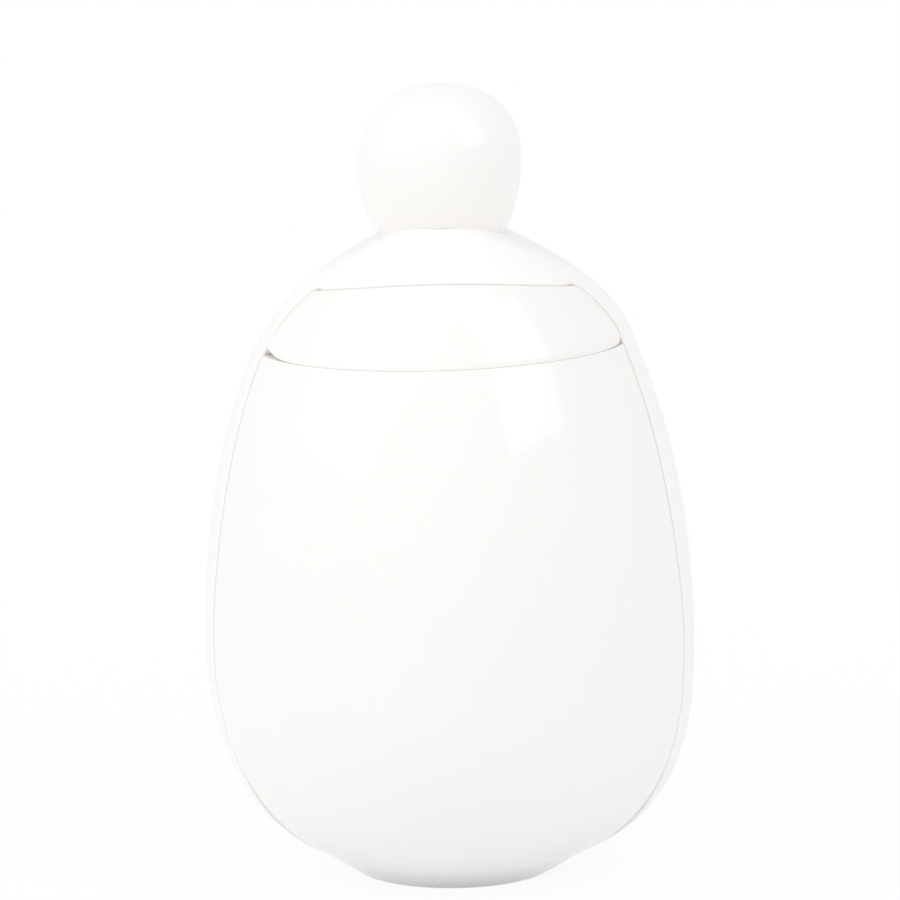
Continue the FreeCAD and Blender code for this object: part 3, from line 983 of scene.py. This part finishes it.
gloss = follow(tree, cloud(tree, GLOSS_SIZE, 4.0), 0.3, 0.7, *GLOSS)
rough_clay = follow(tree, bare, 0.0, 1.0, 0.0, BARE_ROUGHNESS)
tree.links.new(combined(tree, "MAXIMUM", gloss, rough_clay), shader.inputs["Roughness"])
shader.inputs["IOR"].default_value = 1.5

sway = relief(tree, cloud(tree, SWAY_SIZE, 1.0), SWAY)
peel = relief(tree, cloud(tree, PEEL_SIZE, 1.0), PEEL, under=sway)
clay_grain = combined(tree, "MULTIPLY", cloud(tree, CLAY_GRAIN_SIZE, 3.0), bare)
tree.links.new(relief(tree, clay_grain, CLAY_GRAIN, under=peel), shader.inputs["Normal"])
for piece in (cup, lid):
    piece.data.materials.append(porcelain)
print(f"glaze: {len(tree.nodes)} nodes")

# %% [markdown]
# ## Silicone
# The strap's mould was blasted, so its rubber comes out matt with a fine even grain, and it takes a soft
# sheen at a slant. Handling polishes it a little in broad patches. Deep in the joints a warm brown is
# painted into the colour as painted shade for the dim light there, and it follows how closed in a place is.
# Round the neck the painted shade is left out, and the rubber there keeps its plain colour.

# %% The strap's rubber
CHALK, WARM_CHALK = (0.975, 0.966, 0.957), (0.966, 0.953, 0.94)
HANDLED_SIZE, MOTTLE_SIZE, MOTTLE_SHARE = 18.0, 0.5, 0.25
# The first colour on this line is the painted shade in the joints; its reach and openness say how closed in a
# place must be to take it.
JOINT_SHADE, JOINT_SHADE_REACH, JOINT_SHADE_OPENNESS = (0.62, 0.53, 0.45), 1.2, (0.55, 0.97)
# Heights in metres above which the painted joint shade is left out, round the knob's neck.
UNSHADED_NECK = (0.0815, 0.0885)
MATT, RUBBED, SILICONE_IOR = 0.62, 0.5, 1.41
DENT_SIZE, DENT, RUBBER_GRAIN_SIZE, RUBBER_GRAIN = 14.0, 0.06, 0.22, 0.008
strap_rubber, tree, shader = finish("matt_silicone")
handled = follow(tree, cloud(tree, HANDLED_SIZE, 3.0), 0.35, 0.65, 0.0, 1.0)
colour = tint(tree, handled, CHALK, WARM_CHALK)
colour = tint(tree, follow(tree, cloud(tree, MOTTLE_SIZE), 0.3, 0.5, MOTTLE_SHARE, 0.0), colour, WARM_CHALK)
# Painted shade: ambient occlusion darkens the colour toward a warm brown in the joints, below the neck.
openness = add(tree, "ShaderNodeAmbientOcclusion", {"samples": 8}, Distance=JOINT_SHADE_REACH * MM)
painted_joint_shade = follow(tree, openness.outputs["AO"], *JOINT_SHADE_OPENNESS, 1.0, 0.0)
below_neck = follow(tree, height_on(tree), *UNSHADED_NECK, 1.0, 0.0)
colour = tint(tree, combined(tree, "MULTIPLY", painted_joint_shade, below_neck), colour, JOINT_SHADE)
tree.links.new(colour, shader.inputs["Base Color"])
tree.links.new(follow(tree, handled, 0.0, 1.0, MATT, RUBBED), shader.inputs["Roughness"])
dents = relief(tree, cloud(tree, DENT_SIZE, 1.0), DENT)
grain = relief(tree, cloud(tree, RUBBER_GRAIN_SIZE), RUBBER_GRAIN, under=dents)
tree.links.new(grain, shader.inputs["Normal"])
shader.inputs["IOR"].default_value = SILICONE_IOR
shader.inputs["Sheen Weight"].default_value = 0.6
shader.inputs["Sheen Roughness"].default_value = 0.4
strap.data.materials.append(strap_rubber)
print(f"strap: {len(tree.nodes)} nodes")

# %% [markdown]
# The seal is moulded of clearer rubber against a smoother tool. It is satin, a little milky, and light goes
# a short way into it.

# %% The seal's rubber
MILKY, CLEARER = (0.86, 0.86, 0.85), (0.82, 0.825, 0.82)
MILK_SIZE, SATIN_SIZE, SATIN = 6.0, 3.0, (0.3, 0.42)
SKIN_SIZE, SKIN = 0.6, 0.006
seal_rubber, tree, shader = finish("satin_silicone")
milk = follow(tree, cloud(tree, MILK_SIZE), 0.3, 0.7, 0.0, 1.0)
tree.links.new(tint(tree, milk, MILKY, CLEARER), shader.inputs["Base Color"])
tree.links.new(follow(tree, cloud(tree, SATIN_SIZE, 3.0), 0.3, 0.7, *SATIN), shader.inputs["Roughness"])
tree.links.new(relief(tree, cloud(tree, SKIN_SIZE), SKIN), shader.inputs["Normal"])
shader.inputs["IOR"].default_value = SILICONE_IOR
shader.inputs["Subsurface Weight"].default_value = 0.3
shader.inputs["Subsurface Radius"].default_value = (1.0, 0.95, 0.9)
shader.inputs["Subsurface Scale"].default_value = 0.0015
seal.data.materials.append(seal_rubber)
print(f"seal: {len(tree.nodes)} nodes")

# %% [markdown]
# ## Camera
# A long lens a good arm's length away looks slightly down on the coddler, and is rolled by a degree.

# %% Camera
CAMERA_DISTANCE, CAMERA_PIVOT = 700.0, 55.0
CAMERA_RISE, CAMERA_SWING, CAMERA_ROLL = math.radians(10.9), math.radians(1.1), math.radians(1.0)
AIM = (0.5, 0.0, 60.3)
LENS = 196.6
level = CAMERA_DISTANCE * math.cos(CAMERA_RISE)
camera_height = CAMERA_PIVOT + CAMERA_DISTANCE * math.sin(CAMERA_RISE)
seat = Vector((level * math.sin(CAMERA_SWING), -level * math.cos(CAMERA_SWING), camera_height)) * MM
camera = placed("camera", bpy.data.cameras.new("camera"))
camera.data.lens = LENS
camera.data.clip_start, camera.data.clip_end = 0.05, 20.0
camera.location = seat
looking = (Vector(AIM) * MM - seat).to_track_quat("-Z", "Y")
camera.rotation_mode = "QUATERNION"
camera.rotation_quaternion = looking @ Quaternion((0.0, 0.0, 1.0), -CAMERA_ROLL)
bpy.context.scene.camera = camera
print("camera at", [round(c, 3) for c in seat])

# %% [markdown]
# ## The table and the room
# White china is shot on a white sweep, so that only its own shading and its reflections draw it. The floor
# is a plain pale disc. Where the camera or the glaze looks at it, it is mixed with a plain white glow,
# which leaves only a breath of the shadow under the foot.

# %% Floor
FLOOR_RADIUS, FLOOR_SIDES = 0.7, 128
PAPER, WHITE = (0.97, 0.97, 0.97, 1.0), (1.0, 1.0, 1.0, 1.0)
FLOOR_GLOW, GLOW_STARTS, GLOW_FULL = 0.92, 0.03, 0.2


def looked_at(tree):
    """A number that is 1 for rays that show a surface to the eye, straight or in a reflection."""
    path = add(tree, "ShaderNodeLightPath")
    either = combined(tree, "MAXIMUM", path.outputs["Is Camera Ray"], path.outputs["Is Glossy Ray"])
    return combined(tree, "MAXIMUM", either, path.outputs["Is Transmission Ray"])


floor_turn = np.linspace(0.0, 2.0 * math.pi, FLOOR_SIDES, endpoint=False)
floor_points = np.vstack([[[0.0, 0.0, 0.0]], FLOOR_RADIUS * facing_out(floor_turn)])
floor_wedges = [[0, 1 + i, 1 + (i + 1) % FLOOR_SIDES] for i in range(FLOOR_SIDES)]
floor_mesh = bpy.data.meshes.new("studio_floor")
floor_mesh.from_pydata(floor_points, [], floor_wedges)
studio_floor = placed("studio_floor", floor_mesh)
paper, tree, shader = finish("white_paper")
shader.inputs["Base Color"].default_value = PAPER
shader.inputs["Roughness"].default_value = 0.9
glow = add(tree, "ShaderNodeEmission", Color=WHITE, Strength=1.0)
distance = add(tree, "ShaderNodeVectorMath", {"operation": "LENGTH"})
tree.links.new(place_on(tree), distance.inputs[0])
whiteness = follow(tree, distance.outputs["Value"], GLOW_STARTS, GLOW_FULL, FLOOR_GLOW, 1.0)
both = add(tree, "ShaderNodeMixShader")
tree.links.new(combined(tree, "MULTIPLY", looked_at(tree), whiteness), both.inputs[0])
tree.links.new(shader.outputs[0], both.inputs[1])
tree.links.new(glow.outputs[0], both.inputs[2])
tree.links.new(both.outputs[0], tree.nodes["Material Output"].inputs["Surface"])
floor_mesh.materials.append(paper)
print(f"floor: {2 * FLOOR_RADIUS:.1f} m across")

# %% [markdown]
# The room is dimmer than it looks. Rays that light the coddler find it at about two thirds of white
# overhead and a little brighter round about, and rays that only look at it find white.

# %% Room
ZENITH_LIGHT, HORIZON_LIGHT = 0.63, 0.85
world = bpy.data.worlds.new("room")
bpy.context.scene.world = world
world.use_nodes = True
tree = world.node_tree
slant = add(tree, "ShaderNodeSeparateXYZ")
tree.links.new(add(tree, "ShaderNodeTexCoord").outputs["Generated"], slant.inputs[0])
room_light = follow(tree, slant.outputs["Z"], 0.0, 1.0, HORIZON_LIGHT, ZENITH_LIGHT)
strength = add(tree, "ShaderNodeMapRange")
tree.links.new(looked_at(tree), strength.inputs["Value"])
tree.links.new(room_light, strength.inputs["To Min"])
strength.inputs["To Max"].default_value = 1.0
tree.nodes["Background"].inputs["Color"].default_value = WHITE
tree.links.new(strength.outputs["Result"], tree.nodes["Background"].inputs["Strength"])
bpy.context.scene.view_settings.view_transform = "Standard"
print(f"room light: {ZENITH_LIGHT} overhead, {HORIZON_LIGHT} round about")

# %% [markdown]
# ## Softboxes
# Three softboxes hang round the coddler: a big one on the left, whose light fades toward its edges, a smaller
# crisp one on the right, and one overhead that joins their reflections. A lamp's power is its brightness
# times its area times pi, so each one is set by how bright it looks, and its size changes nothing else.

# %% Lamps
LAMP_REACH = 1.2
LAMP_AIM = Vector((0.0, 0.0, 0.055))


def softbox(name, around, up, width, height, brightness, fade=0.0):
    """An area lamp in a direction in degrees, round from the front and up, as bright as the glaze shows."""
    lamp = bpy.data.lights.new(name, "AREA")
    lamp.shape = "RECTANGLE"
    lamp.size, lamp.size_y = width, height
    lamp.energy = brightness * width * height * math.pi
    turn, rise = math.radians(around), math.radians(up)
    way = Vector((math.sin(turn) * math.cos(rise), -math.cos(turn) * math.cos(rise), math.sin(rise)))
    holder = placed(name, lamp)
    holder.location = LAMP_AIM + LAMP_REACH * way
    holder.rotation_euler = (-way).to_track_quat("-Z", "Y").to_euler()
    if fade > 0.0:
        lamp.use_nodes = True
        soften_edges(lamp.node_tree, fade)
    return holder


def soften_edges(tree, fade):
    """Makes a lamp dim smoothly over a share of its width and height, from its edges inward."""
    place = add(tree, "ShaderNodeNewGeometry")
    split = add(tree, "ShaderNodeSeparateXYZ")
    tree.links.new(place.outputs["Parametric"], split.inputs[0])
    factors = []
    for axis in (0, 1):
        side = add(tree, "ShaderNodeMath", {"operation": "PINGPONG"})
        tree.links.new(split.outputs[axis], side.inputs[0])
        side.inputs[1].default_value = 0.5
        factors.append(follow(tree, side.outputs[0], 0.0, fade, 0.0, 1.0))
    tree.links.new(combined(tree, "MULTIPLY", *factors), tree.nodes["Emission"].inputs["Strength"])


left_box = softbox("softbox_left", -63.0, 33.0, 1.12, 0.85, 1.6, fade=0.2)
right_box = softbox("softbox_right", 52.0, 38.0, 0.73, 0.78, 1.15)
top_box = softbox("softbox_top", 0.0, 75.0, 1.2, 1.0, 0.75, fade=0.15)
for box in (left_box, right_box, top_box):
    print(f"{box.name}: {box.data.energy:.1f} W")
